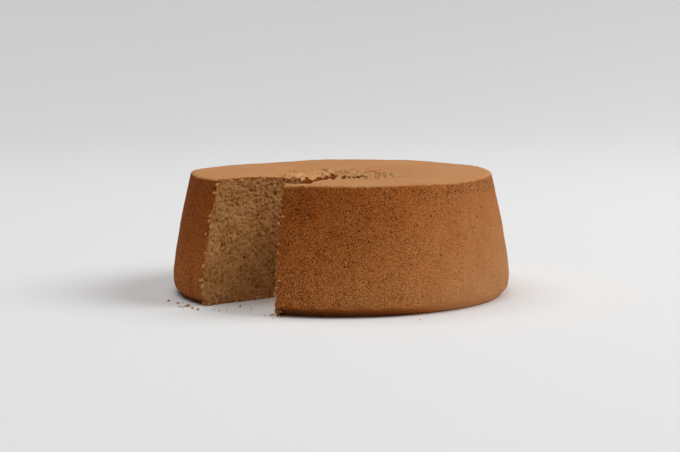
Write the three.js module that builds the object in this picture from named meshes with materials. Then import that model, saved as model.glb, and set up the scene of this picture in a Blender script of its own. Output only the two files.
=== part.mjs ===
// An angel food cake baked in a tube pan and turned out upside down, with one slice cut away.
// Millimetres, +Z up. The origin is on the axis of the tube hole, level with the underside.
// Angles run anticlockwise from the front, -Y, seen from above.
import * as THREE from "three";
import { ImprovedNoise } from "three/addons/math/ImprovedNoise.js";
import { mergeVertices } from "three/addons/utils/BufferGeometryUtils.js";

const { degToRad, lerp, smoothstep } = THREE.MathUtils;

// Outer form: a cone with bulging sides that is widest just above its rounded foot
const HEIGHT = 89;
const WIDEST_RADIUS = 125;
const WIDEST_HEIGHT = 15;
const FOOT_RADIUS = 119.5;
const TOP_RADIUS = 111.2;
const TOP_EDGE_ROUND = 3;
const SIDE_CURVE = 1.3; // 1 would make the side straight, and more makes it bulge

// Hole that the tube of the pan left
const HOLE_TOP_RADIUS = 33;
const HOLE_BASE_RADIUS = 25;
const HOLE_EDGE_ROUND = 4;

// Cake runs from the right cut face round the back to the left one
const RIGHT_CUT = degToRad(-21.5);
const LEFT_CUT = degToRad(307.5);

// Top crust: it dishes towards the hole, and sags at the back left
const DISH_DEPTH = 2;
const DISH_WIDTH = 30;
const SAG_DEPTH = 1.8;
const SAG_ANGLE = degToRad(215);
const SAG_SPREAD = degToRad(40);

// Slow unevenness: waves in one turn, height of each wave, angle at which it starts
const SIDE_WAVES = [
  { count: 3, height: 0.5, start: 0.7 },
  { count: 5, height: 0.35, start: 2.1 },
  { count: 8, height: 0.2, start: 4.4 },
];
const TOP_WAVES = [
  { count: 4, height: 0.3, start: 1.2 },
  { count: 9, height: 0.2, start: 3.3 },
];

// Small relief: size of the bumps across, and their height
const CRUST_BUMPS = { size: 15, height: 0.8 };
const CRUMB_BUMPS = { size: 11, height: 2 };
const TORN_BUMPS = { size: 6, height: 4 };
const TORN_WIDTH = 9; // band of torn crust round the hole
const TORN_DEPTH = 25; // height of the torn stretch of the hole's wall

// Steps of the surface across the ring, round it and up it
const STEPS_ACROSS = 11;
const STEPS_ROUND = 64;
const STEPS_UP = 11;
const CROWDING = 0.7; // 0 spaces the steps evenly, and 1 crowds them into the edges

// Share of a rounding's radius by which the middle of its arc lies inside the sharp corner
const CORNER_SHARE = 1 - Math.SQRT1_2;

const perlin = new ImprovedNoise();

// Relief of the given bumps at a place on the cake.
function relief(bumps, angle, radius, height) {
  const x = (radius * Math.sin(angle)) / bumps.size;
  const y = (radius * Math.cos(angle)) / bumps.size;
  return bumps.height * perlin.noise(x, y, height / bumps.size);
}

// Sum of slow waves at an angle.
function sway(waves, angle) {
  return waves.reduce(
    (sum, wave) => sum + wave.height * Math.sin(wave.count * angle + wave.start),
    0,
  );
}

// How far a rounded edge falls back at a distance from its sharp corner.
function fallBack(distance, round) {
  if (distance >= round) return 0;
  return round - Math.sqrt(round ** 2 - (round - distance) ** 2);
}

// Outer radius at a level of the even cake.
function sideRadius(level) {
  const above = Math.max(0, level - WIDEST_HEIGHT) / (HEIGHT - WIDEST_HEIGHT);
  const below = Math.max(0, WIDEST_HEIGHT - level) / WIDEST_HEIGHT;
  const wall = lerp(WIDEST_RADIUS, TOP_RADIUS, above ** SIDE_CURVE);
  const foot = (WIDEST_RADIUS - FOOT_RADIUS) * (1 - Math.sqrt(1 - below ** 2));
  return wall - foot - fallBack(HEIGHT - level, TOP_EDGE_ROUND);
}

// Radius of the tube hole at a level of the even cake.
function holeRadius(level) {
  const wall = lerp(HOLE_BASE_RADIUS, HOLE_TOP_RADIUS, level / HEIGHT);
  return wall + fallBack(HEIGHT - level, HOLE_EDGE_ROUND);
}

// Height of the top crust at a distance from the axis, with its dish, sag and rounded edges.
function topHeight(distance, angle) {
  const fromHole = distance - HOLE_TOP_RADIUS;
  const dish = DISH_DEPTH * (1 - smoothstep(fromHole, 0, DISH_WIDTH));
  const offSag = (angle - SAG_ANGLE) / SAG_SPREAD;
  const sag = SAG_DEPTH * Math.exp(-(offSag ** 2)) * (distance / TOP_RADIUS);
  const edges =
    fallBack(TOP_RADIUS - distance, TOP_EDGE_ROUND) + fallBack(fromHole, HOLE_EDGE_ROUND);
  return HEIGHT + sway(TOP_WAVES, angle) - dish - sag - edges;
}

// Point of the cake at shares from 0 to 1: across from the hole to the side, round from the
// right cut face to the left one, and up from the underside to the top crust.
function place(across, round, up) {
  const even = lerp(RIGHT_CUT, LEFT_CUT, round);
  const holeCorner = HOLE_TOP_RADIUS + CORNER_SHARE * HOLE_EDGE_ROUND;
  const sideCorner = TOP_RADIUS - CORNER_SHARE * TOP_EDGE_ROUND;
  const onTop = lerp(holeCorner, sideCorner, across);
  const level = up * HEIGHT - up * CORNER_SHARE * lerp(HOLE_EDGE_ROUND, TOP_EDGE_ROUND, across);

  const nearHole = 1 - smoothstep(onTop - HOLE_TOP_RADIUS, 0, TORN_WIDTH);
  const nearTop = smoothstep(level, HEIGHT - TORN_DEPTH, HEIGHT);
  const torn = nearHole * nearTop * relief(TORN_BUMPS, even, onTop, level);
  const crust = relief(CRUST_BUMPS, even, WIDEST_RADIUS, level);
  const radius = lerp(
    holeRadius(level) + torn,
    sideRadius(level) + sway(SIDE_WAVES, even) + crust,
    across,
  );
  const height = up * topHeight(onTop, even) - Math.abs(torn);

  const onCut = round === 0 || round === 1;
  const angle = even + (onCut ? relief(CRUMB_BUMPS, even, radius, height) / WIDEST_RADIUS : 0);
  return new THREE.Vector3(radius * Math.sin(angle), -radius * Math.cos(angle), height);
}

// Share from 0 to 1 moved nearer to its closer end, so that steps crowd into the edges.
function crowd(share) {
  return share - (CROWDING * Math.sin(2 * Math.PI * share)) / (2 * Math.PI);
}

// Closed surface of the cake: a block of small steps that is bent round the hole.
function cakeGeometry() {
  const block = new THREE.BoxGeometry(1, 1, 1, STEPS_ACROSS, STEPS_ROUND, STEPS_UP);
  block.translate(0.5, 0.5, 0.5);
  block.deleteAttribute("normal");
  block.deleteAttribute("uv");
  const geometry = mergeVertices(block);
  const points = geometry.getAttribute("position");
  const share = new THREE.Vector3();
  for (let i = 0; i < points.count; i++) {
    share.fromBufferAttribute(points, i);
    const at = place(crowd(share.x), share.y, crowd(share.z));
    points.setXYZ(i, at.x, at.y, at.z);
  }
  geometry.computeVertexNormals();
  return geometry;
}

const crust = new THREE.MeshStandardMaterial({ color: "#a06a3c", roughness: 0.9, metalness: 0 });
const cake = new THREE.Mesh(cakeGeometry(), crust);
cake.name = "cake";

const group = new THREE.Group();
group.add(cake);

export default group;
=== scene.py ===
# %% [markdown]
# # An angel food cake with a piece cut out
# The cake was baked in a tube pan and turned out upside down, so it stands on its wider side.
# Its crust is brown and matte with fine pores, and its two cut faces show a tan sponge crumb.
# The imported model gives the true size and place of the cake. This lesson builds the finer surface
# on it, in metres, in the same frame: +Z is up, the front is -Y, and the origin is the middle
# of the underside.

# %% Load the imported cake
import math

import bmesh
import bpy
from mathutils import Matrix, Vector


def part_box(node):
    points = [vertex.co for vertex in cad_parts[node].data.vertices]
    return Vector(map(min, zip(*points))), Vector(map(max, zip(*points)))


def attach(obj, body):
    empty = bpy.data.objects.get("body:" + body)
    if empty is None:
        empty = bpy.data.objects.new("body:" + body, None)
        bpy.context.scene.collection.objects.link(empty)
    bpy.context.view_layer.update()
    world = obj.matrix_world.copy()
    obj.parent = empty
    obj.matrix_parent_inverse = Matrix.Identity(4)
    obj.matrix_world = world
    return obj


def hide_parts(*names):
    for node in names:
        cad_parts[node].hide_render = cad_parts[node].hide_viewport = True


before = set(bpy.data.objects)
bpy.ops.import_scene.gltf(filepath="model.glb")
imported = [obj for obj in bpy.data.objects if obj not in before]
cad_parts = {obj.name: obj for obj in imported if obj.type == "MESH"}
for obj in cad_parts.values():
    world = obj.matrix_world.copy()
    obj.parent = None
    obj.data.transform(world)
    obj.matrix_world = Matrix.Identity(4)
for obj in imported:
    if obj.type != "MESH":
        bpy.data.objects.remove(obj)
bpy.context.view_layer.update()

MM = 0.001
cake_low, cake_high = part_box("cake")
cake_sides = [round((high - low) / MM, 1) for low, high in zip(cake_low, cake_high)]
print("packed cake, millimetres:", cake_sides)

# %% [markdown]
# ## Camera
# The cake was photographed from a little above its top, with a longish lens, so the top shows
# as a narrow band. The distance and the lens go together: a closer camera with a shorter lens would
# widen the near parts and hide more of the top.

# %% Camera
CAMERA_DISTANCE = 1.25
CAMERA_HEIGHT = 0.2034
CAMERA_DOWN = math.radians(7.1)
CAMERA_TURN = math.radians(0.064)
LENS_MM = 89.3
SENSOR_MM = 36

camera = bpy.data.objects.new("camera", bpy.data.cameras.new("camera"))
camera.data.lens = LENS_MM
camera.data.sensor_width = SENSOR_MM
camera.location = (0, -CAMERA_DISTANCE, CAMERA_HEIGHT)
camera.rotation_euler = (math.pi / 2 - CAMERA_DOWN, 0, CAMERA_TURN)
bpy.context.collection.objects.link(camera)
bpy.context.scene.camera = camera
print("camera looks down by", round(math.degrees(CAMERA_DOWN), 1), "degrees")

# %% [markdown]
# ## Writing node trees as sums
# Geometry Nodes and materials are both node trees. Wired one by one they are hard to read, so one
# small class stands for a node's output, and arithmetic on it adds Math nodes. Every other node
# comes from one method, which sets the node's settings first and then its sockets.

# %% An output that takes part in arithmetic
class Wire:
    """An output of a node. Arithmetic on it adds Math nodes to its graph."""

    def __init__(self, graph, socket):
        self.graph = graph
        self.socket = socket

    def math(self, operation, *others):
        return self.graph.math(operation, self, *others)

    def output(self, name):
        """Another output of the same node."""
        return Wire(self.graph, self.socket.node.outputs[name])

    def at_least(self, other):
        return self.math("MAXIMUM", other)

    def at_most(self, other):
        return self.math("MINIMUM", other)

    def above(self, other):
        """1 where this is greater than the other, 0 elsewhere."""
        return self.math("GREATER_THAN", other)

    def below(self, other):
        """1 where this is less than the other, 0 elsewhere."""
        return self.math("LESS_THAN", other)

    def __add__(self, other):
        return self.graph.math("ADD", self, other)

    def __radd__(self, other):
        return self.graph.math("ADD", other, self)

    def __sub__(self, other):
        return self.graph.math("SUBTRACT", self, other)

    def __rsub__(self, other):
        return self.graph.math("SUBTRACT", other, self)

    def __mul__(self, other):
        return self.graph.math("MULTIPLY", self, other)

    def __rmul__(self, other):
        return self.graph.math("MULTIPLY", other, self)

    def __truediv__(self, other):
        return self.graph.math("DIVIDE", self, other)

    def __rtruediv__(self, other):
        return self.graph.math("DIVIDE", other, self)

    def __pow__(self, other):
        return self.graph.math("POWER", self, other)

    def __rpow__(self, other):
        return self.graph.math("POWER", other, self)


print("made the class Wire, with + - * / and **")


# %% A node tree that is being built
class Graph:
    """A node tree that is being built."""

    def __init__(self, tree):
        self.tree = tree

    def node(self, kind, settings=None, sockets=None, output=0):
        """One output of a new node. A socket takes a value, or a Wire that is linked to it."""
        made = self.tree.nodes.new(kind)
        for name, value in (settings or {}).items():
            setattr(made, name, value)
        for key, value in (sockets or {}).items():
            if isinstance(value, Wire):
                self.tree.links.new(value.socket, made.inputs[key])
            else:
                made.inputs[key].default_value = value
        return Wire(self, made.outputs[output]) if made.outputs else None

    def math(self, operation, *values):
        return self.node("ShaderNodeMath", {"operation": operation}, dict(enumerate(values)))


print("made the class Graph")


# %% Blends, eased steps and vectors
# A Mix node has other sockets for each type: numbers go to 2 and 3, and colours to 6 and 7.
def blend(start, end, factor):
    """Number that goes from start to end as the factor goes from 0 to 1."""
    sockets = {0: factor, 2: start, 3: end}
    return factor.graph.node("ShaderNodeMix", {"data_type": "FLOAT"}, sockets)


def paint(start, end, factor):
    """Colour that goes from start to end as the factor goes from 0 to 1."""
    sockets = {0: factor, 6: start, 7: end}
    return factor.graph.node("ShaderNodeMix", {"data_type": "RGBA"}, sockets, 2)


def ease(value, low, high, start=0.0, end=1.0):
    """Number that eases from start to end as the value goes from low to high."""
    sockets = {"Value": value, "From Min": low, "From Max": high, "To Min": start, "To Max": end}
    return value.graph.node("ShaderNodeMapRange", {"interpolation_type": "SMOOTHSTEP"}, sockets)


def ramp(value, low, high):
    """Number that goes from 0 to 1, and no further, as the value goes from low to high."""
    sockets = {"Value": value, "From Min": low, "From Max": high}
    return value.graph.node("ShaderNodeMapRange", None, sockets)


def split(vector):
    """The x, y and z of a vector."""
    parts = vector.graph.node("ShaderNodeSeparateXYZ", None, {0: vector})
    return [parts.output(axis) for axis in "XYZ"]


def join(x, y, z):
    """Vector of x, y and z."""
    return x.graph.node("ShaderNodeCombineXYZ", None, {0: x, 1: y, 2: z})


print("made the helpers blend, paint, ease, ramp, split and join")

# %% Two patterns: smooth noise and round spots
SPOT_NARROWEST = 0.55
SPOT_SPREAD = 0.75  # how much wider the widest spot is
SPOT_MIDDLE = 0.4  # share of a spot that is its flat middle


def swell(place, size, detail=0.0, roughness=0.5):
    """Smooth noise from -1 to 1, with bumps of the given size."""
    sockets = {"Vector": place, "Scale": 1 / size, "Detail": detail, "Roughness": roughness}
    return place.graph.node("ShaderNodeTexNoise", None, sockets) * 2 - 1


def bubbles(place, size, share, odds=1.0):
    """Round spots of uneven width, 1 in the middle and 0 outside, in some cells."""
    cell = place.graph.node("ShaderNodeTexVoronoi", None, {"Vector": place, "Scale": 1 / size})
    luck, width = split(cell.output("Color"))[:2]
    apart = cell / (SPOT_NARROWEST + width * SPOT_SPREAD)
    return ease(apart, SPOT_MIDDLE * share, share, 1, 0) * luck.below(odds)


print("widest spot is", round(1 + SPOT_SPREAD / SPOT_NARROWEST, 1), "times the narrowest")

# %% [markdown]
# ## Crust and crumb as a material
# Crust and crumb are the same batter. Where it met the pan it browned to a thin matte crust with
# pinholes, and inside it stayed a tan foam. So one material paints both: facts stored on the mesh
# tell how deep below the skin a point lies, and noise in the object's own space breaks the border
# up. Each colour is a run from dark pit to light grain, and one number, the tone, picks the place
# on it. The crust has two runs, a warm one, and a duller one for the top, the foot and the right.
# The lighter, duller top and the duller right side are partly the crust's own colour and partly
# painted sheen.

# %% Runs of colour
# Tone from 0 to 1, and the colour there
WARM_CRUST = (
    (0.0, (0.11, 0.022, 0.003, 1)),
    (0.4, (0.405, 0.095, 0.0085, 1)),
    (0.6, (0.54, 0.182, 0.046, 1)),
    (0.8, (0.63, 0.255, 0.08, 1)),
    (1.0, (0.72, 0.35, 0.14, 1)),
)
# partly the crust's own duller colour, partly painted sheen on the top and the right side
PALE_CRUST_WITH_SHEEN = (
    (0.0, (0.11, 0.032, 0.010, 1)),
    (0.4, (0.39, 0.115, 0.022, 1)),
    (0.6, (0.47, 0.178, 0.053, 1)),
    (0.8, (0.53, 0.253, 0.105, 1)),
    (1.0, (0.63, 0.345, 0.152, 1)),
)
CRUMB_COLOURS = (
    (0.0, (0.165, 0.047, 0.006, 1)),
    (0.25, (0.325, 0.126, 0.030, 1)),
    (0.5, (0.48, 0.215, 0.066, 1)),
    (1.0, (0.71, 0.40, 0.165, 1)),
)


def shade(colours, tone):
    """Colour at a tone on a run of colours."""
    low, colour = colours[0]
    for high, following in colours[1:]:
        colour = paint(colour, following, ramp(tone, low, high))
        low = high
    return colour


print("colours of crust:", len(WARM_CRUST) + len(PALE_CRUST_WITH_SHEEN), "and of crumb:", len(CRUMB_COLOURS))

# %% Materials without gloss
FAINT_GLOSS = 0.06


def bare_material(name):
    """New material without nodes, and the graph that fills it."""
    material = bpy.data.materials.new(name)
    material.use_nodes = True
    material.node_tree.nodes.clear()
    return material, Graph(material.node_tree)


def finish_matte(graph, sockets):
    """Ends a material in a shader that hardly mirrors, with the given sockets."""
    sockets = {"Specular IOR Level": FAINT_GLOSS, **sockets}
    shader = graph.node("ShaderNodeBsdfPrincipled", None, sockets)
    graph.node("ShaderNodeOutputMaterial", None, {"Surface": shader})


def stored(graph, name):
    """Fact about a point of the cake, kept on its mesh under a name."""
    return graph.node("ShaderNodeAttribute", {"attribute_name": name}, output="Fac")


cake_material, graph = bare_material("cake")
place = graph.node("ShaderNodeTexCoord", output="Object")
x, y, z = split(place)
on_top = stored(graph, "top")
print("material of the cake:", cake_material.name)

# %% [markdown]
# ### Grain, pores and browning of the crust
# The crust is speckled with fine grain and pinholes. They are strong at the front and weak on the
# right, but there too a band below the top edge is rough. At the left the foot is sandy with
# loose crumb. A painted picture could show all this, but noise has no seams and stays sharp close
# up. Each pattern adds to the tone or takes from it, so they can be tuned one by one.

# %% Where the crust is grainy
EDGE_SIZE = 10 * MM
EDGE_SWAY = 8 * MM
PATCH_SIZE = 12 * MM
GRAINY_FRONT = 0.82
GRAINY_RIGHT = 0.45
GRAINY_EDGE = 0.8
# Limits for ease, here and below: from and to, and often the two numbers that it gives there
EDGE_BAND = (68 * MM, 84 * MM)
FRONT_TO_RIGHT = (10 * MM, 115 * MM)
PATCHES = (-0.4, 0.4, 0.75, 1.05)

edge_line = z + swell(place, EDGE_SIZE, detail=1) * EDGE_SWAY
near_edge = ease(edge_line, *EDGE_BAND) * (1 - on_top)
grainy_right = blend(GRAINY_RIGHT, GRAINY_EDGE, near_edge)
patches = ease(swell(place, PATCH_SIZE, detail=1), *PATCHES)
grainy = ease(x, *FRONT_TO_RIGHT, GRAINY_FRONT, grainy_right) * patches
print("nodes that say where the crust is grainy:", len(graph.tree.nodes))

# %% Grain and sand
GRAIN_SIZE = 0.65 * MM
GRAIN_TONE = 1.15
GRAIN_SKEW = 1.2  # makes dark grains stand out more than light ones
SAND_SIZE = 1.4 * MM
SAND_TONE = 0.32
SAND_TO_RIGHT = (-30 * MM, 15 * MM, 1, 0)
SAND_BY_HEIGHT = (12 * MM, 50 * MM, 1, 0)

specks = swell(place, GRAIN_SIZE, detail=1, roughness=0.6)
grain = (specks - specks * specks * GRAIN_SKEW) * GRAIN_TONE * grainy
sandy = ease(x, *SAND_TO_RIGHT) * ease(z, *SAND_BY_HEIGHT)
sand = swell(place, SAND_SIZE, detail=1) * sandy * SAND_TONE
print("nodes with grain and sand:", len(graph.tree.nodes))

# %% Pores
# Width of a cell, share of it that the pore fills, share of the cells with a pore
SMALL_PORE = (1.6 * MM, 0.32, 0.7)
PINHOLE = (0.9 * MM, 0.45, 0.6)
LARGE_PORE = (4.5 * MM, 0.2, 0.7)
EDGE_PORE = (2.8 * MM, 0.38, 0.6)
SMALL_PORE_TONE = 0.45
PINHOLE_TONE = 0.3
LARGE_PORE_TONES = (20 * MM, 85 * MM, 0.2, 0.45)
EDGE_PORE_TONE = 0.3
EDGE_PORES_TO_RIGHT = (0, 60 * MM)

small_pores = bubbles(place, *SMALL_PORE) * SMALL_PORE_TONE + bubbles(place, *PINHOLE) * PINHOLE_TONE
large_pores = bubbles(place, *LARGE_PORE) * ease(z, *LARGE_PORE_TONES)
edge_places = ease(x, *EDGE_PORES_TO_RIGHT) * near_edge
edge_pores = bubbles(place, *EDGE_PORE) * edge_places * EDGE_PORE_TONE
pores = small_pores * grainy + large_pores + edge_pores
print("nodes with the pores:", len(graph.tree.nodes))

# %% Even tone and painted shade at the foot
SIDE_TONE = 0.345
# lighter top: partly paler crust, partly painted sheen
TOP_TONE_WITH_SHEEN = 0.81
# painted light and sheen: the side is painted paler towards the lamp on the right, lighter low down
# where the floor throws light back up, and a little darker near the top
PAINTED_LIGHT_TO_RIGHT = (-120 * MM, 120 * MM)
PAINTED_LIGHT_TONE = 0.29
PAINTED_LIGHT_BY_HEIGHT = (5 * MM, 85 * MM, 0.15, -0.05)
STREAK_SIZE = 6 * MM
STREAK_TONE = 0.05
STREAK_SQUASH = 0.15  # streaks run up the side, so height counts for less
BLOTCH_SIZE = 30 * MM
BLOTCH_TONE = 0.05
MOTTLE_SIZE = 9 * MM
MOTTLE_TONE = 0.035
FOOT_SWAY = 2.2 * MM
FOOT_BLUR = (-2 * MM, 1.5 * MM)
FOOT_SHADE_TO_RIGHT = (30 * MM, 85 * MM, 0.45, 0.06)

# painted light: paler towards the right and low down, darker near the top
painted_light_tone = ease(x, *PAINTED_LIGHT_TO_RIGHT) * PAINTED_LIGHT_TONE + ease(z, *PAINTED_LIGHT_BY_HEIGHT)
streaks = swell(join(x, y, z * STREAK_SQUASH), STREAK_SIZE, detail=1) * STREAK_TONE
mottle = swell(place, MOTTLE_SIZE, detail=2)
blotches = swell(place, BLOTCH_SIZE) * BLOTCH_TONE + mottle * MOTTLE_TONE
at_foot = ease(stored(graph, "below_line") + mottle * FOOT_SWAY, *FOOT_BLUR)
# painted shade: a dark band along the tucked foot, strongest at the front and left
foot_shade = at_foot * ease(x, *FOOT_SHADE_TO_RIGHT)
even_tone = blend(SIDE_TONE + painted_light_tone + streaks, TOP_TONE_WITH_SHEEN, on_top) - foot_shade + blotches
print("nodes with the even tone:", len(graph.tree.nodes))

# %% Tone and dents of the crust
FLAKE_SHADE_TONE = 0.12  # for each millimetre that a flake rises
FLECK_SIZE = 6 * MM
FLECK_TONE = 0.45
FLECK_NOISE = (0.15, 0.4)
FLECK_REACH = (10 * MM, 22 * MM, 1, 0)
CALM_TOP = 0.25  # share of the grain that shows on the smooth top
CALM_FOOT = 0.8  # share of the grain that is lost at the foot
GRAIN_DENT = 0.5  # depth of a dark grain, where a pore of the same tone has 1

# painted light and shade: the crust is painted lighter where a flake rises and darker where it dips
flake_light_and_shade = stored(graph, "flakes") / MM * FLAKE_SHADE_TONE
near_hole = on_top * ease(stored(graph, "from_hole"), *FLECK_REACH)
flecks = ease(swell(place, FLECK_SIZE, detail=2), *FLECK_NOISE) * near_hole * FLECK_TONE
calm = blend(1, CALM_TOP, on_top) * (1 - at_foot * CALM_FOOT)
crust_light = even_tone + flake_light_and_shade - flecks + (grain + sand - pores) * calm
crust_dents = (pores - grain * GRAIN_DENT) * calm
print("nodes with the crust:", len(graph.tree.nodes))

# %% [markdown]
# ### Crumb, and where it shows
# The crumb's tone follows the relief: it is painted lighter on its torn walls and darker in its
# holes, as painted light and shade. It shows where a point lies deep below the skin. A thin toasted
# layer lies between, and the crust that was cut through shows a lighter line. The tube left a brown
# crust in the hole, up to the torn rim, and it is painted darker as shade inside the hole. The
# recesses of the torn rim are painted a warmer, darker brown as shade, and the torn rim and the
# peeled strip are painted lighter, as light reaching them. Two materials would meet in hard lines,
# so masks blend crust and crumb in one.

# %% Tone and dents of the crumb
CRUMB_LIGHT = 0.66
RIM_PAINTED_LIGHT = 0.2
PEELED_PAINTED_LIGHT = 0.25
RELIEF_SHADE_TONE = 0.18  # for each millimetre of relief
RIM_RELIEF_SHADE_TONE = 0.08  # more of it at the torn rim
CRUMB_GRAIN_SIZE = 1.1 * MM
CRUMB_GRAIN_TONE = 0.4
# Width of a cell, share of it that the hole fills
CRUMB_HOLE = (2.2 * MM, 0.42)
CRUMB_PIT = (1.3 * MM, 0.4)
CRUMB_HOLE_TONE = 0.25
CRUMB_PIT_TONE = 0.2
RIM_FILLED = 0.6  # share of the holes' depth that is lost at the torn rim

relief = stored(graph, "crumb_relief")
rim = stored(graph, "rim")
holes = bubbles(place, *CRUMB_HOLE) * CRUMB_HOLE_TONE + bubbles(place, *CRUMB_PIT) * CRUMB_PIT_TONE
pits = holes * (1 - rim * RIM_FILLED)
crumb_grain = swell(place, CRUMB_GRAIN_SIZE, detail=2, roughness=0.6) * CRUMB_GRAIN_TONE
# painted light: the torn rim and the sunken peeled strip are painted lighter, as light reaching them
lighter = CRUMB_LIGHT + rim * RIM_PAINTED_LIGHT + stored(graph, "peeled") * PEELED_PAINTED_LIGHT
# painted light and shade: the crumb is painted lighter where its relief rises and darker in its hollows
painted_relief_shade = relief / MM * (RELIEF_SHADE_TONE + rim * RIM_RELIEF_SHADE_TONE)
crumb_light = lighter + painted_relief_shade + crumb_grain - pits
crumb_dents = pits - crumb_grain * GRAIN_DENT
print("nodes with the crumb:", len(graph.tree.nodes))

# %% Where crust gives way to crumb
BORDER_SIZE = 2.5 * MM
BORDER_SWAY = 0.5 * MM
BORDER = (0.7 * MM, 1.7 * MM)
TOASTED = (1.5 * MM, 6 * MM, 0.7, 1)
CUT_LINE = (0.1 * MM, 0.4 * MM)
CUT_LIGHTER = 0.25
TUBE_SIZE = 8 * MM
TUBE_SWAY = 4 * MM
TUBE_BLUR = 0.5 * MM
TUBE_RELIEF = 2  # how far the end of the tube's crust moves with the relief
TUBE_SHADE = 0.14

below_skin = stored(graph, "depth")
tube_sway = swell(place, TUBE_SIZE, detail=2) * TUBE_SWAY - relief * TUBE_RELIEF
tube_crust = ease(stored(graph, "below_tear") + tube_sway, -TUBE_BLUR, TUBE_BLUR)
border = below_skin + swell(place, BORDER_SIZE) * BORDER_SWAY
inside = ease(border, *BORDER) * ease(border, *TOASTED) * (1 - tube_crust)
cut_through = ease(below_skin, *CUT_LINE) * (1 - tube_crust)
# painted shade: the tube's crust is painted darker, as shade inside the hole
crust_light = crust_light - tube_crust * TUBE_SHADE + cut_through * CUT_LIGHTER
print("crust ends between", BORDER[0] / MM, "and", BORDER[1] / MM, "mm below the skin")

# %% Colour, roughness and dents of the cake
PALE_AND_SHEEN_TO_RIGHT = (30 * MM, 125 * MM)
CRACK_SHADE_DEPTHS = (-1.2 * MM, 0.6 * MM, 1, 0)
CRACK_LIGHTER = 0.15
CRUST_ROUGHNESS = 0.82
CRUMB_ROUGHNESS = 0.92
ROUGHNESS_SIZE = 3 * MM
ROUGHNESS_SWAY = 0.05
DENT_DEPTH = 1.5 * MM

# duller crust on the top, the foot and the right: partly its own colour, partly painted sheen
duller_with_sheen = ease(x, *PALE_AND_SHEEN_TO_RIGHT).at_least(on_top).at_least(at_foot)
crust_colour = paint(shade(WARM_CRUST, crust_light), shade(PALE_CRUST_WITH_SHEEN, crust_light), duller_with_sheen)
# painted shade: the recesses of the torn rim take a warmer, darker brown, as shade with light bounced
# inside
crack_shade_colour = shade(WARM_CRUST, crumb_light + CRACK_LIGHTER)
rim_crack_shade = rim * ease(relief, *CRACK_SHADE_DEPTHS)
crumb_colour = paint(shade(CRUMB_COLOURS, crumb_light), crack_shade_colour, rim_crack_shade)
colour = paint(crust_colour, crumb_colour, inside)
roughness = blend(CRUST_ROUGHNESS, CRUMB_ROUGHNESS, inside)
roughness = roughness + swell(place, ROUGHNESS_SIZE) * ROUGHNESS_SWAY
dents = blend(crust_dents, crumb_dents, inside)
bump_sockets = {"Strength": 1.0, "Distance": DENT_DEPTH, "Height": dents * -1}
bump = graph.node("ShaderNodeBump", None, bump_sockets)
finish_matte(graph, {"Base Color": colour, "Roughness": roughness, "Normal": bump})
print("nodes in the cake material:", len(graph.tree.nodes))

# %% [markdown]
# ## The block
# A ring with a gap is a straight block bent round, so the cake starts as a unit block whose surface
# is a net of small steps. A cube primitive would give all six sides equal steps. Here the two
# ends, which become the cut faces, get steps a third as long, because crumb needs more detail than
# crust, and the flat underside is only a row of long strips.

# %% Unit block
STEPS_ACROSS = 50
STEPS_ROUND = 290
STEPS_UP = 56
CROWDING = 0.5  # 0 spaces the steps evenly, and 1 crowds them into the edges


def crowd(share):
    """Share moved nearer to its closer end, so that steps crowd into the edges."""
    return share - CROWDING * math.sin(2 * math.pi * share) / (2 * math.pi)


def unit_block():
    """Closed block from 0 to 1: x across from the hole to the side, y round the ring, z up."""
    steps = (STEPS_ACROSS, STEPS_ROUND, STEPS_UP)
    net = bmesh.new()
    corners = {}

    def corner(key):
        if key not in corners:
            across, around, up = [at / count for at, count in zip(key, steps)]
            corners[key] = net.verts.new((crowd(across), around, crowd(up)))
        return corners[key]

    def base_row(j):
        at_an_end = j in (0, STEPS_ROUND)
        row = range(STEPS_ACROSS + 1) if at_an_end else (0, STEPS_ACROSS)
        return [corner((i, j, 0)) for i in row]

    for j in range(STEPS_ROUND):
        net.faces.new(base_row(j)[::-1] + base_row(j + 1))
    for axis, levels in ((0, (0, STEPS_ACROSS)), (1, (0, STEPS_ROUND)), (2, (STEPS_UP,))):
        first, second = (axis + 1) % 3, (axis + 2) % 3
        for level in levels:
            for i in range(steps[first]):
                for j in range(steps[second]):
                    ring = []
                    for di, dj in ((0, 0), (1, 0), (1, 1), (0, 1)):
                        key = [0, 0, 0]
                        key[axis], key[first], key[second] = level, i + di, j + dj
                        ring.append(corner(tuple(key)))
                    net.faces.new(ring if level else ring[::-1])
    return net


net = unit_block()
print("block faces:", len(net.faces))

# %% Finer steps on the two ends
END_CUTS = 2


def on_plane(face, axis, level):
    """True for a face that lies in a plane of the block."""
    return all(vertex.co[axis] == level for vertex in face.verts)


ends = [face for face in net.faces if on_plane(face, 1, 0) or on_plane(face, 1, 1)]
end_edges = list({edge for face in ends for edge in face.edges})
bmesh.ops.subdivide_edges(net, edges=end_edges, cuts=END_CUTS, use_grid_fill=True)
print("block faces with finer ends:", len(net.faces))

# %% [markdown]
# ## A map for baking
# A finish made of noise has no picture, so another program needs it baked to one. Unwrapping the
# rough cake by angle would leave thousands of scraps, so the map is made on the even block: every side
# becomes one flat patch, and the patches are laid out like cut cloth on a table. The long outer
# side is cut in two, and the underside, which nobody sees, is drawn small.

# %% Lay the six sides out on one sheet
# Millimetres of cake
SHEET = 416
GAP = 2
SIDE_LENGTH = 680
WALL_HEIGHT = 90
HOLE_LENGTH = 168
CUT_LENGTH = 86
TOP_WIDTH = 222
TOP_INNER = 34
UNDERSIDE_SCALE = 0.27


def ring_place(across, around, scale):
    """Place of a point of the top or the underside on a flat drawing of the ring."""
    angle = around * 2 * math.pi
    middle = TOP_WIDTH / 2
    radius = TOP_INNER + across * (middle - TOP_INNER)
    return scale * (middle + radius * math.sin(angle)), scale * (middle - radius * math.cos(angle))


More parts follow.
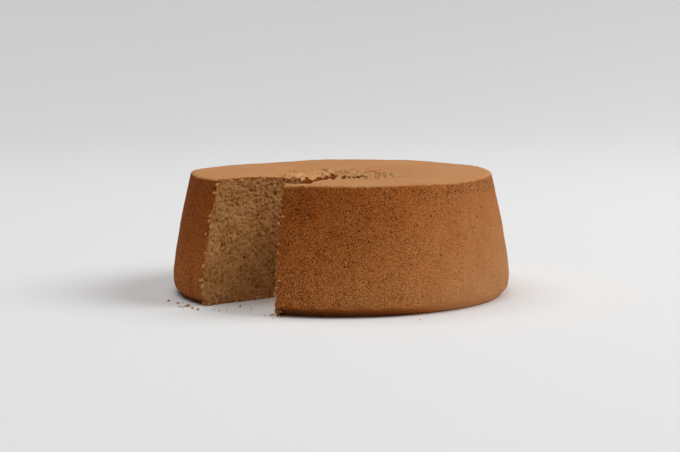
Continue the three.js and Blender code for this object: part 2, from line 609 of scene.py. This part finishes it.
def sheet_place(face, share):
    """Place of a corner of a face on the sheet, in millimetres."""
    across, around, up = share
    row = WALL_HEIGHT + GAP
    right_of_top = TOP_WIDTH + GAP
    if on_plane(face, 0, 1):
        second = face.calc_center_median().y > 0.5
        return (around - 0.5 * second) * SIDE_LENGTH, up * WALL_HEIGHT + second * row
    if on_plane(face, 2, 1):
        u, v = ring_place(across, around, 1)
        return u, v + 2 * row
    if on_plane(face, 2, 0):
        u, v = ring_place(across, around, UNDERSIDE_SCALE)
        return u + SIDE_LENGTH / 2 + GAP, v
    if on_plane(face, 0, 0):
        return around * HOLE_LENGTH + right_of_top, up * WALL_HEIGHT + 2 * row
    second = on_plane(face, 1, 1)
    return across * CUT_LENGTH + right_of_top + second * (CUT_LENGTH + GAP), up * WALL_HEIGHT + 3 * row


bake_map = net.loops.layers.uv.new("OFBake")
for face in net.faces:
    for loop in face.loops:
        u, v = sheet_place(face, loop.vert.co)
        loop[bake_map].uv = ((u + GAP) / SHEET, (v + GAP) / SHEET)
block_mesh = bpy.data.meshes.new("cake_body")
net.to_mesh(block_mesh)
net.free()
print("sheet is", SHEET, "mm wide")

# %% [markdown]
# ## The shape of the cake
# On the real cake the pan gives the sloping side, the tube gives the hole, and sagging, tearing and
# cutting give the rest. Each of these is a rule about a point's distance from the axis, its angle
# and its height, so Geometry Nodes can bend the whole block at once. The sizes are inputs of
# the tree, and the relief comes from noise and cells that are fixed in space.

# %% Sizes of the cake
CAKE_SIZES = {
    "Height": 89 * MM,
    "Widest Radius": 125 * MM,
    "Widest Height": 15 * MM,
    "Foot Radius": 122 * MM,
    "Top Radius": 111.2 * MM,
    "Top Edge": 2.2 * MM,
    "Side Curve": 1.3,
    "Hole Top Radius": 33 * MM,
    "Hole Base Radius": 25 * MM,
    "Hole Edge": 8 * MM,
    "Right Cut": math.radians(-21.5),
    "Left Cut": math.radians(307.5),
    "Dish Depth": 2.9 * MM,
    "Dish Width": 50 * MM,
    "Sag Depth": 1.8 * MM,
    "Sag Angle": math.radians(215),
    "Sag Spread": math.radians(40),
}
# Waves in one turn, height of each wave, angle at which it starts
SIDE_WAVES = ((3, 0.5 * MM, 0.7), (5, 0.35 * MM, 2.1), (8, 0.2 * MM, 4.4))
TOP_WAVES = ((4, 0.3 * MM, 1.2), (9, 0.2 * MM, 3.3))
print("cake sizes:", len(CAKE_SIZES), "named inputs")


# %% Rules of the even form
def sway(angle, waves):
    """Sum of slow waves at an angle."""
    total = 0
    for count, height, start in waves:
        total = total + (angle * count + start).math("SINE") * height
    return total


def fall_back(distance, edge):
    """How far a rounded edge lies behind its sharp corner, at a distance from that corner."""
    inside = (edge - distance).at_least(0)
    return edge - (edge * edge - inside * inside).at_least(0).math("SQRT")


def side_radius(size, level):
    """Outer radius at a level: a bulging cone with a rounded foot and a rounded top edge."""
    widest = size["Widest Height"]
    above = (level - widest).at_least(0) / (size["Height"] - widest)
    below = (widest - level).at_least(0) / widest
    taper = size["Widest Radius"] - size["Top Radius"]
    wall = size["Widest Radius"] - above ** size["Side Curve"] * taper
    foot = (size["Widest Radius"] - size["Foot Radius"]) * (1 - (1 - below * below).math("SQRT"))
    return wall - foot - fall_back(size["Height"] - level, size["Top Edge"])


def hole_radius(size, level):
    """Radius of the tube hole at a level."""
    flare = size["Hole Top Radius"] - size["Hole Base Radius"]
    wall = size["Hole Base Radius"] + flare * level / size["Height"]
    return wall + fall_back(size["Height"] - level, size["Hole Edge"])


def top_height(size, distance, angle):
    """Height of the top crust: it dishes towards the hole, sags at one side and has round edges."""
    from_hole = distance - size["Hole Top Radius"]
    from_side = size["Top Radius"] - distance
    dish = size["Dish Depth"] * ease(from_hole, 0, size["Dish Width"], 1, 0)
    off_sag = (angle - size["Sag Angle"]) / size["Sag Spread"]
    sag = size["Sag Depth"] * (off_sag * off_sag * -1).math("EXPONENT") * distance / size["Top Radius"]
    edges = fall_back(from_side, size["Top Edge"]) + fall_back(from_hole, size["Hole Edge"])
    return size["Height"] + sway(angle, TOP_WAVES) - dish - sag - edges


print("waves on the side and top:", len(SIDE_WAVES) + len(TOP_WAVES))


# %% Tree with the sizes as inputs
def new_tree(name, sizes):
    """Graph of a new Geometry Nodes tree with named inputs."""
    tree = bpy.data.node_groups.new(name, "GeometryNodeTree")
    tree.interface.new_socket("Geometry", in_out="INPUT", socket_type="NodeSocketGeometry")
    tree.interface.new_socket("Geometry", in_out="OUTPUT", socket_type="NodeSocketGeometry")
    for size_name in sizes:
        tree.interface.new_socket(size_name, in_out="INPUT", socket_type="NodeSocketFloat")
    return Graph(tree)


graph = new_tree("bend_cake", CAKE_SIZES)
cake_tree = graph.tree
group_input = graph.node("NodeGroupInput")
size = {name: group_input.output(name) for name in CAKE_SIZES}
across, around, up = split(graph.node("GeometryNodeInputPosition"))
print("inputs of the bending tree:", len(size))

# %% Bend the even form
CORNER_SHARE = 1 - math.sqrt(0.5)  # where the middle of a rounding lies, as a share of its radius


def ring_point(angle, radius, height):
    """Point at an angle from the front, a distance from the axis and a height."""
    return join(radius * angle.math("SINE"), radius * angle.math("COSINE") * -1, height)


turn = size["Left Cut"] - size["Right Cut"]
angle = size["Right Cut"] + around * turn
hole_corner = size["Hole Top Radius"] + size["Hole Edge"] * CORNER_SHARE
side_corner = size["Top Radius"] - size["Top Edge"] * CORNER_SHARE
top_radius = blend(hole_corner, side_corner, across)
rounding = blend(size["Hole Edge"], size["Top Edge"], across)
level = up * (size["Height"] - rounding * CORNER_SHARE)
outer_radius = side_radius(size, level) + sway(angle, SIDE_WAVES)
radius = blend(hole_radius(size, level), outer_radius, across)
height = up * top_height(size, top_radius, angle)
even = ring_point(angle, radius, height)
print("nodes of the even form:", len(cake_tree.nodes))

# %% [markdown]
# ## Crust and crumb as relief
# Crust that lay against the pan is only slightly dimpled. Crumb is a foam: round holes of several
# sizes with torn walls between them. A bump in the material would show these only as shading. Real
# dents catch the light from every side and break up the edges, so here the points are moved: noise
# gives the dimples and the torn walls, and cells give the holes.

# %% Relief of crust and crumb
# Size of the bumps, and their height
DIMPLE_SIZE = 15 * MM
DIMPLE_HEIGHT = 0.4 * MM
RIPPLE_SIZE = 5.5 * MM
RIPPLE_HEIGHT = 0.25 * MM
BULGE_SIZE = 11 * MM
BULGE_HEIGHT = 0.8 * MM
SHRED_SIZE = 2.8 * MM
SHRED_HEIGHT = 1.8 * MM
# Width of a cell, share of it that the hole fills, share of the cells with a hole
CRUST_DENT = (8 * MM, 0.2, 0.5)
LARGE_HOLE = (7 * MM, 0.32, 0.25)
SMALL_HOLE = (2.7 * MM, 0.45, 0.85)
CRUST_DENT_DEPTH = 0.5 * MM
LARGE_HOLE_DEPTH = 1.4 * MM
SMALL_HOLE_DEPTH = 1.0 * MM


def crust_relief(place):
    """Dimples and shallow dents of crust that lay against the pan."""
    dimples = swell(place, DIMPLE_SIZE) * DIMPLE_HEIGHT
    ripples = swell(place, RIPPLE_SIZE, detail=2) * RIPPLE_HEIGHT
    return dimples + ripples - bubbles(place, *CRUST_DENT) * CRUST_DENT_DEPTH


def crumb_relief(place):
    """Holes of the crumb, and the torn walls between them."""
    bulges = swell(place, BULGE_SIZE) * BULGE_HEIGHT
    shreds = swell(place, SHRED_SIZE, detail=3, roughness=0.65) * SHRED_HEIGHT
    large = bubbles(place, *LARGE_HOLE) * LARGE_HOLE_DEPTH
    small = bubbles(place, *SMALL_HOLE) * SMALL_HOLE_DEPTH
    return bulges + shreds - large - small


crumb = crumb_relief(even)
print("nodes with the crumb:", len(cake_tree.nodes))

# %% Which face of the block a point is on
ON_FACE = 1e-5  # a share this close to 0 or 1 is on a face

on_side = across.above(1 - ON_FACE)
on_hole = across.below(ON_FACE)
on_crust_top = up.above(1 - ON_FACE)
on_right_cut = around.below(ON_FACE)
on_left_cut = around.above(1 - ON_FACE)
print("nodes with the faces:", len(cake_tree.nodes))

# %% [markdown]
# ### Torn top
# Where the crust stuck to the tube it tore away and left a ragged rim, with loose flakes beside it,
# most of them at the front. Along the right cut a strip of crust peeled off, deepest near the hole.
# Both could be sculpted. Here noise bends the lines where the crust ends, so the lines can be moved
# later, and what lies past them sinks and turns to crumb.

# %% Torn crust and flakes round the hole
TEAR_WIDTH = 4 * MM
TEAR_SIZE = 9 * MM
TEAR_SWAY = 8 * MM
TEAR_BLUR = 0.7 * MM
CHUNK_SIZE = 4 * MM
CHUNK_HEIGHT = 1.5 * MM
FLAKE_SIZE = 3.6 * MM
FLAKE_WIDTH = 14 * MM
FLAKE_HEIGHT = 8.5 * MM
FLAKE_BACK = 0.15  # share of that height behind the hole
FLAKE_SPAN = 20 * MM

top_place = ring_point(angle, top_radius, size["Height"])
from_hole = top_radius - hole_corner
tear_sway = swell(top_place, TEAR_SIZE, detail=3, roughness=0.65) * TEAR_SWAY
past_tear = from_hole - TEAR_WIDTH - tear_sway
torn = ease(past_tear, -TEAR_BLUR, TEAR_BLUR, 1, 0)
chunks = swell(top_place, CHUNK_SIZE, detail=2, roughness=0.6) * CHUNK_HEIGHT * torn
flake_heights = (FLAKE_HEIGHT, FLAKE_HEIGHT * FLAKE_BACK)
flake_height = ease(split(top_place)[1], -FLAKE_SPAN, FLAKE_SPAN, *flake_heights)
near_tear = ease(past_tear, 0, FLAKE_WIDTH, 1, 0)
flakes = swell(top_place, FLAKE_SIZE, detail=3, roughness=0.7) * near_tear * flake_height
print("nodes with the torn crust:", len(cake_tree.nodes))

# %% Strip along the right cut where the crust peeled off
PEEL_ANGLE = math.radians(8.5)
PEEL_SIZE = 15 * MM
PEEL_SWAY = 4 * MM
PEEL_SINK = 4 * MM
PEEL_DEPTHS = (0, 45 * MM, 8 * MM, 1.5 * MM)
PEEL_MARGIN = (4.5 * MM, 9 * MM, 20 * MM, 0)  # keeps the crust at the side out of the strip

from_side = side_corner - top_radius
from_right = around * turn * top_radius
peel_sway = swell(top_place, PEEL_SIZE, detail=3, roughness=0.6) * PEEL_SWAY
past_peel = from_right - top_radius * PEEL_ANGLE - peel_sway + ease(from_side, *PEEL_MARGIN)
peeled = ease(past_peel, -PEEL_SINK, 0, 1, 0)
sink = peeled * ease(from_hole, *PEEL_DEPTHS)
bare = ease(past_tear.at_most(past_peel), -TEAR_BLUR, TEAR_BLUR, 1, 0)
print("nodes with the peeled strip:", len(cake_tree.nodes))

# %% Lift of the top
TOP_SHARE = 0.7  # share of the relief that the top has
TEAR_STEP = 1.2 * MM
NICK_SIZE = 4.5 * MM
NICK_NOISE = (0, 0.5)
NICK_DEPTHS = (0, 3.5 * MM, 1.6 * MM, 0)
SETTLE_DEPTH = 14 * MM

nick_places = ease(swell(top_place, NICK_SIZE, detail=3, roughness=0.65), *NICK_NOISE)
nicks = nick_places * ease(from_side, *NICK_DEPTHS)
with_crust = crust_relief(top_place) * TOP_SHARE + flakes - nicks
without_crust = crumb_relief(top_place) * TOP_SHARE + chunks - TEAR_STEP - sink
below_edge = size["Height"] - rounding * CORNER_SHARE
settled = ease(level, size["Height"] - SETTLE_DEPTH, below_edge)
lift = blend(with_crust, without_crust, bare) * settled
print("nodes with the top:", len(cake_tree.nodes))

# %% [markdown]
# ### Hole, foot and cut faces
# The torn rim goes on as ledges on the wall of the hole, and further down the hole keeps its crust.
# The foot is tucked in unevenly, and both cuts are chipped where they meet the crust. Moving every
# point along its own normal would fold the mesh at the edges, so each face moves in one direction:
# the hole and the side along the radius, the top up and down, and the cuts round the axis.

# %% Ledges on the wall of the hole
LEDGE_SIZE = 4 * MM
LEDGE_DEPTH = 2 * MM
LEDGE_SQUASH = 2  # ledges are wider than high
TORN_DEPTH = 0.9 * MM
TORN_WALL = (-2 * MM, 4 * MM, 1, 0)
SMOOTH_WALL = 0.2  # share of the relief below the torn part

below_tear = size["Height"] - size["Hole Edge"] * CORNER_SHARE - TORN_DEPTH - level
torn_wall = ease(below_tear, *TORN_WALL)
torn_top = on_crust_top * torn * (1 - peeled)
at_hole = on_hole.at_least(torn_top) * blend(SMOOTH_WALL, 1, torn_wall)
ledge_place = ring_point(angle, radius, height * LEDGE_SQUASH)
ledges = swell(ledge_place, LEDGE_SIZE, detail=2, roughness=0.6) * LEDGE_DEPTH
rough = crumb + ledges * at_hole
push_in = at_hole * rough
print("nodes with the hole:", len(cake_tree.nodes))

# %% Dimpled side and tucked foot
TUCK_HEIGHT = 7.5 * MM
TUCK_DEPTH = 3.9 * MM
TUCK_WAVE = ((3, 1.2 * MM, math.radians(105)),)
TUCK_SIZE = 10 * MM
TUCK_SWAY = 0.8 * MM

tuck = TUCK_DEPTH + sway(angle, TUCK_WAVE) + swell(even, TUCK_SIZE, detail=1) * TUCK_SWAY
push_out = on_side * (crust_relief(even) - tuck * ease(level, 0, TUCK_HEIGHT, 1, 0))
print("nodes with the side:", len(cake_tree.nodes))

# %% Depth below the skin, and chips along the cuts
BARE_DEPTH = 3 * MM
CHIP_SIZE = 3.6 * MM
CHIP_NOISE = (0, 0.5)
CHIP_DEPTHS = (0, 2.5 * MM, 2.2 * MM, 0)

side_depth = outer_radius - radius
top_depth = size["Height"] * (1 - up) + bare * BARE_DEPTH
base_depth = size["Height"] * up
depth = side_depth.at_most(top_depth).at_most(base_depth).at_least(0)
chips = ease(swell(even, CHIP_SIZE, detail=2), *CHIP_NOISE) * ease(depth, *CHIP_DEPTHS)
swing = (on_left_cut - on_right_cut) * (crumb - chips) / radius
print("nodes with the cuts:", len(cake_tree.nodes))

# %% Facts for the material
# height of the band of painted shade above the tucked foot
FOOT_SHADE_HEIGHT = 0.8 * MM
FAR_ABOVE = -1  # stands for a point that is nowhere near the wall of the hole

facts = {
    "depth": depth,
    "top": on_crust_top,
    "rim": on_hole * torn_wall + torn_top,
    "below_tear": blend(FAR_ABOVE, below_tear, on_hole),
    "peeled": on_crust_top * peeled,
    "below_line": tuck + FOOT_SHADE_HEIGHT - level,
    "crumb_relief": rough,
    "flakes": on_crust_top * flakes,
    "from_cut": around.at_most(1 - around) * turn * radius,
    "from_hole": from_hole,
}
geometry = group_input.output("Geometry")
for name, value in facts.items():
    sockets = {"Geometry": geometry, "Name": name, "Value": value}
    geometry = graph.node("GeometryNodeStoreNamedAttribute", {"data_type": "FLOAT"}, sockets)
print("facts on each point:", ", ".join(facts))

# %% Move the points
moved = ring_point(angle + swing, radius + push_out - push_in, (height + lift).at_least(0))
geometry = graph.node("GeometryNodeSetPosition", None, {"Geometry": geometry, "Position": moved})
geometry = graph.node("GeometryNodeSetShadeSmooth", None, {"Geometry": geometry})
geometry = graph.node("GeometryNodeRealizeInstances", None, {"Geometry": geometry})
cake_sockets = {"Geometry": geometry, "Material": cake_material}
geometry = graph.node("GeometryNodeSetMaterial", None, cake_sockets)
graph.node("NodeGroupOutput", None, {0: geometry})
print("nodes in the bending tree:", len(cake_tree.nodes))


# %% Bend the block and keep the result as a plain mesh
def grown(name, mesh, tree, sizes):
    """Object with the plain mesh that a Geometry Nodes tree makes of a mesh."""
    source = bpy.data.objects.new(name + "_source", mesh)
    bpy.context.collection.objects.link(source)
    modifier = source.modifiers.new("nodes", "NODES")
    modifier.node_group = tree
    for socket in tree.interface.items_tree:
        if socket.name in sizes:
            modifier[socket.identifier] = sizes[socket.name]
    evaluated = source.evaluated_get(bpy.context.evaluated_depsgraph_get())
    made = bpy.data.objects.new(name, bpy.data.meshes.new_from_object(evaluated))
    bpy.data.objects.remove(source)
    bpy.context.collection.objects.link(made)
    triangles = sum(len(face.vertices) - 2 for face in made.data.polygons)
    print(name, "has", triangles, "triangles")
    return made


cake = grown("cake_body", block_mesh, cake_tree, CAKE_SIZES)

# %% [markdown]
# ## Loose crumbs
# Cutting a sponge cake leaves crumbs. They are small torn lumps of the same tan foam, so they get
# a plainer finish in the crumb's colours. Each could be modelled, but nobody can tell hundreds
# of them apart: three lumps, turned and sized at random, are enough. A lump is a cube of a few faces,
# rounded and then roughened by noise.

# %% Finish of the crumbs
LOOSE_TONE = 0.78
LOOSE_PATCH_SIZE = 4 * MM
LOOSE_PATCH_TONE = 0.25
LOOSE_GRAIN_SIZE = 0.8 * MM
LOOSE_GRAIN_TONE = 0.3
LOOSE_ROUGHNESS = 0.9
LOOSE_BUMP = 0.6
LOOSE_DENT = 0.2 * MM

crumb_material, graph = bare_material("crumbs")
place = graph.node("ShaderNodeTexCoord", output="Object")
patches = swell(place, LOOSE_PATCH_SIZE) * LOOSE_PATCH_TONE
tone = LOOSE_TONE + patches + swell(place, LOOSE_GRAIN_SIZE, detail=1) * LOOSE_GRAIN_TONE
bump_sockets = {"Strength": LOOSE_BUMP, "Distance": LOOSE_DENT, "Height": tone}
bump = graph.node("ShaderNodeBump", None, bump_sockets)
colour = shade(CRUMB_COLOURS, tone)
finish_matte(graph, {"Base Color": colour, "Roughness": LOOSE_ROUGHNESS, "Normal": bump})
print("nodes in the crumb material:", len(graph.tree.nodes))

# %% Three rough lumps
CRUMB_SIZES = {
    "Smallest": 0.4 * MM,
    "Largest": 2.6 * MM,
    "Per Square Metre": 130000.0,
}
LUMPS = 3
LUMP_APART = 9.0  # how far apart in the noise two lumps take their shapes
LUMP_RADIUS = 0.5
KNOB_SIZE = 0.35
KNOB_HEIGHT = 0.6


def lump(graph, number):
    """Rough lump about one unit across, different for each number."""
    corners = {"Size": (1, 1, 1), "Vertices X": 3, "Vertices Y": 3, "Vertices Z": 3}
    block = graph.node("GeometryNodeMeshCube", None, corners)
    place = graph.node("GeometryNodeInputPosition")
    length = graph.node("ShaderNodeVectorMath", {"operation": "LENGTH"}, {0: place}, 1)
    offset = {0: place, 1: (LUMP_APART * number, 0, 0)}
    where = graph.node("ShaderNodeVectorMath", {"operation": "ADD"}, offset)
    scale = (LUMP_RADIUS + swell(where, KNOB_SIZE, detail=1) * KNOB_HEIGHT) / length
    rounded = graph.node("ShaderNodeVectorMath", {"operation": "SCALE"}, {0: place, 3: scale})
    moved = graph.node("GeometryNodeSetPosition", None, {"Geometry": block, "Position": rounded})
    return graph.node("GeometryNodeGeometryToInstance", None, {0: moved})


graph = new_tree("scatter_crumbs", CRUMB_SIZES)
crumb_tree = graph.tree
group_input = graph.node("NodeGroupInput")
lumps = graph.node("GeometryNodeJoinGeometry")
for number in range(LUMPS):
    crumb_tree.links.new(lump(graph, number).socket, lumps.socket.node.inputs[0])
print("nodes of the lumps:", len(crumb_tree.nodes))

# %% [markdown]
# ### Where the crumbs lie
# Some crumbs cling to the edges of the cuts and round the hole, and others lie on the floor. Placed
# one by one they would look arranged, so points are scattered at random, with a fixed seed: on the
# cake thickest along the cuts, and on the floor in a few heaps. A lump on the floor is flattened
# where it would sink into it.

# %% Crumbs that cling to the cake
SEED = 7
AT_CUT = (0.5 * MM, 3 * MM, 1, 0)
AT_SKIN = (1 * MM, 4 * MM, 1, 0)
MORE_AT_FOOT = (0, 30 * MM, 7, 1.3)
AT_HOLE = (2 * MM, 22 * MM, 0.06, 0)


def known(graph, name):
    """Fact that the bending tree stored on the cake."""
    return graph.node("GeometryNodeInputNamedAttribute", {"data_type": "FLOAT"}, {"Name": name})


cake_height = split(graph.node("GeometryNodeInputPosition"))[2]
along_cut = ease(known(graph, "from_cut"), *AT_CUT) * ease(known(graph, "depth"), *AT_SKIN)
around_hole = known(graph, "top") * ease(known(graph, "from_hole"), *AT_HOLE)
crowded = along_cut * ease(cake_height, *MORE_AT_FOOT) + around_hole
cling_sockets = {
    "Mesh": group_input.output("Geometry"),
    "Density": crowded * group_input.output("Per Square Metre"),
    "Seed": SEED,
}
clinging = graph.node("GeometryNodeDistributePointsOnFaces", None, cling_sockets)
print("nodes with the clinging crumbs:", len(crumb_tree.nodes))

# %% Crumbs on the floor
# Heaps: where the middle is, how wide the heap is, crumbs per square metre there
FLOOR_HEAPS = (
    (-44 * MM, -113 * MM, 6 * MM, 330000),
    (-88 * MM, -90 * MM, 12 * MM, 25000),
    (-110 * MM, -78 * MM, 4 * MM, 380000),
    (-115 * MM, -66 * MM, 8 * MM, 60000),
    (-60 * MM, -80 * MM, 30 * MM, 8000),
    (52 * MM, -124 * MM, 8 * MM, 9000),
    (126 * MM, -36 * MM, 8 * MM, 9000),
)
FLOOR_WIDTH = 280 * MM
FLOOR_STEPS = 140
FOOT_MARGIN = 1 * MM
CUT_MARGIN = 0.03  # radians


def clear_of_cake(x, y, size):
    """1 on the floor outside the cake and in its gap, 0 below the cake."""
    radius = (x * x + y * y).math("SQRT")
    angle = x.math("ARCTAN2", y * -1)
    outside = radius.above(size["Foot Radius"] + FOOT_MARGIN)
    gap_left = size["Left Cut"] - 2 * math.pi
    in_gap = angle.above(gap_left + CUT_MARGIN) * angle.below(size["Right Cut"] - CUT_MARGIN)
    return outside.at_least(in_gap)


floor_sockets = {
    "Size X": FLOOR_WIDTH,
    "Size Y": FLOOR_WIDTH,
    "Vertices X": FLOOR_STEPS,
    "Vertices Y": FLOOR_STEPS,
}
floor = graph.node("GeometryNodeMeshGrid", None, floor_sockets)
x, y = split(graph.node("GeometryNodeInputPosition"))[:2]
thickness = 0
for heap_x, heap_y, width, count in FLOOR_HEAPS:
    apart = ((x - heap_x) ** 2 + (y - heap_y) ** 2) / (width * width)
    thickness = thickness + (apart * -1).math("EXPONENT") * count
density = thickness * clear_of_cake(x, y, CAKE_SIZES)
fallen_sockets = {"Mesh": floor, "Density": density, "Seed": SEED}
fallen = graph.node("GeometryNodeDistributePointsOnFaces", None, fallen_sockets)
print("heaps of crumbs on the floor:", len(FLOOR_HEAPS))

# %% Turn, size and join the crumbs
SMALL_ONES = 3  # a higher power makes more of the crumbs small


def chance(graph, low, high, seed):
    """Random number for each point."""
    sockets = {2: low, 3: high, "Seed": seed}
    return graph.node("FunctionNodeRandomValue", {"data_type": "FLOAT"}, sockets, 1)


joined = graph.node("GeometryNodeJoinGeometry")
for points in (clinging, fallen):
    crumb_tree.links.new(points.socket, joined.socket.node.inputs[0])
share = chance(graph, 0.0, 1.0, SEED) ** SMALL_ONES
instance_sockets = {
    "Points": joined,
    "Instance": lumps,
    "Pick Instance": True,
    "Rotation": join(*[chance(graph, 0.0, 2 * math.pi, SEED + 1 + axis) for axis in range(3)]),
    "Scale": blend(group_input.output("Smallest"), group_input.output("Largest"), share),
}
crumbs = graph.node("GeometryNodeInstanceOnPoints", None, instance_sockets)
crumbs = graph.node("GeometryNodeRealizeInstances", None, {"Geometry": crumbs})
x, y, z = split(graph.node("GeometryNodeInputPosition"))
resting = join(x, y, z.at_least(0))
crumbs = graph.node("GeometryNodeSetPosition", None, {"Geometry": crumbs, "Position": resting})
crumbs = graph.node("GeometryNodeSetShadeSmooth", None, {"Geometry": crumbs})
crumbs = graph.node("GeometryNodeSetMaterial", None, {"Geometry": crumbs, "Material": crumb_material})
graph.node("NodeGroupOutput", None, {0: crumbs})
loose = grown("crumbs", cake.data, crumb_tree, CRUMB_SIZES)

# %% [markdown]
# ## Sweep
# The picture was taken on a seamless pale sweep, so the floor is a wide dish whose rim rises out
# of the picture. A plain disc would end in a visible edge. The profile is a flat run and an arc, and
# spinning it round the axis makes the dish, whose doubled points are then merged.

# %% Sweep
FLAT_RADIUS = 1.5
SWEEP_RADIUS = 3.0
SWEEP_SLOPE = math.radians(50)
SWEEP_STEPS = 24
SWEEP_SIDES = 128
MERGE_DISTANCE = 0.1 * MM

profile = [(0.0, 0.0)]
for step in range(SWEEP_STEPS + 1):
    slope = SWEEP_SLOPE * step / SWEEP_STEPS
    profile.append((FLAT_RADIUS + SWEEP_RADIUS * math.sin(slope), SWEEP_RADIUS * (1 - math.cos(slope))))
net = bmesh.new()
points = [net.verts.new((distance, 0, height)) for distance, height in profile]
lines = [net.edges.new(pair) for pair in zip(points, points[1:])]
one_turn = {"cent": (0, 0, 0), "axis": (0, 0, 1), "angle": 2 * math.pi, "steps": SWEEP_SIDES}
bmesh.ops.spin(net, geom=points + lines, **one_turn)
bmesh.ops.remove_doubles(net, verts=net.verts, dist=MERGE_DISTANCE)
bmesh.ops.recalc_face_normals(net, faces=net.faces)
for face in net.faces:
    face.smooth = True
sweep = bpy.data.objects.new("sweep", bpy.data.meshes.new("sweep"))
net.to_mesh(sweep.data)
net.free()
bpy.context.collection.objects.link(sweep)
print("faces of the sweep:", len(sweep.data.polygons))

# %% Finish of the sweep
SWEEP_COLOUR = (0.836, 0.838, 0.838, 1)
SWEEP_ROUGHNESS = 0.8
SWEEP_GLOSS = 0.1

sweep_material = bpy.data.materials.new("pale_sweep")
sweep_material.use_nodes = True
sweep_shader = sweep_material.node_tree.nodes["Principled BSDF"]
sweep_shader.inputs["Base Color"].default_value = SWEEP_COLOUR
sweep_shader.inputs["Roughness"].default_value = SWEEP_ROUGHNESS
sweep_shader.inputs["Specular IOR Level"].default_value = SWEEP_GLOSS
sweep.data.materials.append(sweep_material)
print("sweep is", round(sweep.dimensions.x, 2), "m wide")

# %% [markdown]
# ## Light
# Two large soft lights make the picture. One stands high on the right and makes that side paler, and
# a larger one above, behind and to the left lights the top. The floor throws much of it back up, so
# the side towards the camera is lit from below and its foot isn't dark. A single lamp would be simpler,
# but its shadow would be hard, and the front would be dark.

# %% Soft lights
# Name, degrees round from the front, degrees up, distance and width in metres, watts
LIGHTS = (
    ("from_the_right", 92, 46, 3.6, 2.4, 81),
    ("from_above", 245, 77, 4.0, 4.0, 96),
)


def soft_light(name, azimuth, elevation, distance, width, watts):
    """Round soft light that looks at the cake."""
    turn, rise = math.radians(azimuth), math.radians(elevation)
    light = bpy.data.objects.new(name, bpy.data.lights.new(name, "AREA"))
    light.data.shape = "DISK"
    light.data.size = width
    light.data.energy = watts
    reach = distance * math.cos(rise)
    light.location = (reach * math.sin(turn), -reach * math.cos(turn), distance * math.sin(rise))
    light.rotation_euler = (math.pi / 2 - rise, 0, turn)
    bpy.context.collection.objects.link(light)


for light in LIGHTS:
    soft_light(*light)
print("soft lights:", len(LIGHTS))

# %% Faint light from all round
SKY_COLOUR = (1.0, 0.96, 0.90, 1)
SKY_STRENGTH = 0.04

world = bpy.data.worlds.new("studio")
world.use_nodes = True
sky = world.node_tree.nodes["Background"]
sky.inputs["Color"].default_value = SKY_COLOUR
sky.inputs["Strength"].default_value = SKY_STRENGTH
bpy.context.scene.world = world
# Standard shows the colours as they are, and the default would make them duller
bpy.context.scene.view_settings.view_transform = "Standard"
print("strength of the sky:", SKY_STRENGTH)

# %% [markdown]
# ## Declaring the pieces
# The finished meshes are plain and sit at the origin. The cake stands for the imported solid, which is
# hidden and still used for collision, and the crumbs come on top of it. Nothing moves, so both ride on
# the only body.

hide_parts("cake")
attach(cake, "root")
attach(loose, "root")
